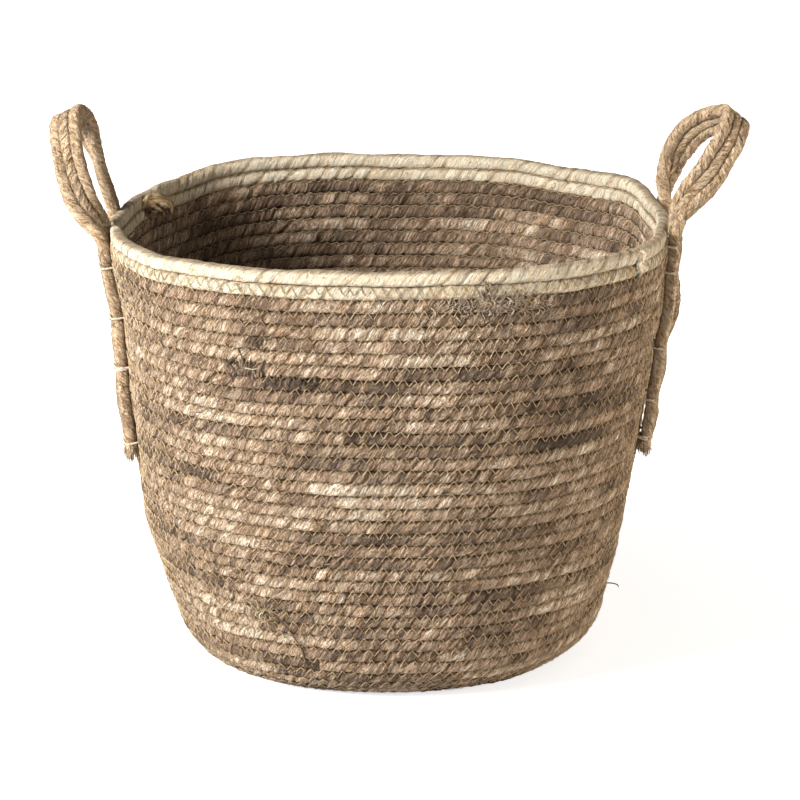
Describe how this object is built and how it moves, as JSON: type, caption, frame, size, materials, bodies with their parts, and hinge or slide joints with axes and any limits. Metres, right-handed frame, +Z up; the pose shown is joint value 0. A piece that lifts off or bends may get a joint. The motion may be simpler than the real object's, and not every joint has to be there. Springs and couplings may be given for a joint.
{
  "type": "coiled storage basket",
  "caption": "Round storage basket coiled from thick brown leaf rope, with a pale rim and rope carrying loops on both sides.",
  "frame": {"origin": "middle of the flat underside, where the rope's spiral starts", "axes": "+Z up, +X towards the right carrying loop, -X towards the left one, -Y towards the front"},
  "size_m": [0.4913, 0.3924, 0.4014],
  "materials": {
    "brown_leaf_rope": "coarse twisted dry leaf, matt, with mixed tan and dark strands",
    "pale_leaf_rope": "coarse twisted pale leaf, matt to slightly silky",
    "jute_rope": "three-strand laid jute, hairy and matt",
    "twine": "thin pale plant twine, matt"
  },
  "bodies": {
    "basket": {"coil_floor": "brown_leaf_rope", "coil_foot_low": "brown_leaf_rope", "coil_foot_high": "brown_leaf_rope", "coil_wall": "brown_leaf_rope", "coil_collar": "brown_leaf_rope", "coil_rim": "pale_leaf_rope", "strap_left_front_outer": "jute_rope", "strap_left_front_middle": "jute_rope", "strap_left_front_inner": "jute_rope", "strap_left_back_outer": "jute_rope", "strap_left_back_middle": "jute_rope", "strap_left_back_inner": "jute_rope", "strap_right_front_outer": "jute_rope", "strap_right_front_middle": "jute_rope", "strap_right_front_inner": "jute_rope", "strap_right_back_outer": "jute_rope", "strap_right_back_middle": "jute_rope", "strap_right_back_inner": "jute_rope", "tie_left_front_1": "twine", "tie_left_front_2": "twine", "tie_left_front_3": "twine", "tie_left_front_4": "twine", "tie_left_back_1": "twine", "tie_left_back_2": "twine", "tie_left_back_3": "twine", "tie_left_back_4": "twine", "tie_right_front_1": "twine", "tie_right_front_2": "twine", "tie_right_front_3": "twine", "tie_right_front_4": "twine", "tie_right_front_5": "twine", "tie_right_back_1": "twine", "tie_right_back_2": "twine", "tie_right_back_3": "twine", "tie_right_back_4": "twine", "tie_right_back_5": "twine"},
    "handle_left": {"loop_left_outer": "jute_rope", "loop_left_middle": "jute_rope", "loop_left_inner": "jute_rope"},
    "handle_right": {"loop_right_outer": "jute_rope", "loop_right_middle": "jute_rope", "loop_right_inner": "jute_rope"}
  },
  "joints": [
    {"name": "handle_left_swing", "type": "hinge", "parent": "basket", "child": "handle_left", "pos_m": [-0.20193, 0, 0.30622], "axis": [0, -1, 0], "range_deg": [-13, 130], "stiffness_Nm_per_rad": 0.2},
    {"name": "handle_right_swing", "type": "hinge", "parent": "basket", "child": "handle_right", "pos_m": [0.20255, 0, 0.3204], "axis": [0, 1, 0], "range_deg": [-30, 110], "stiffness_Nm_per_rad": 0.2}
  ]
}
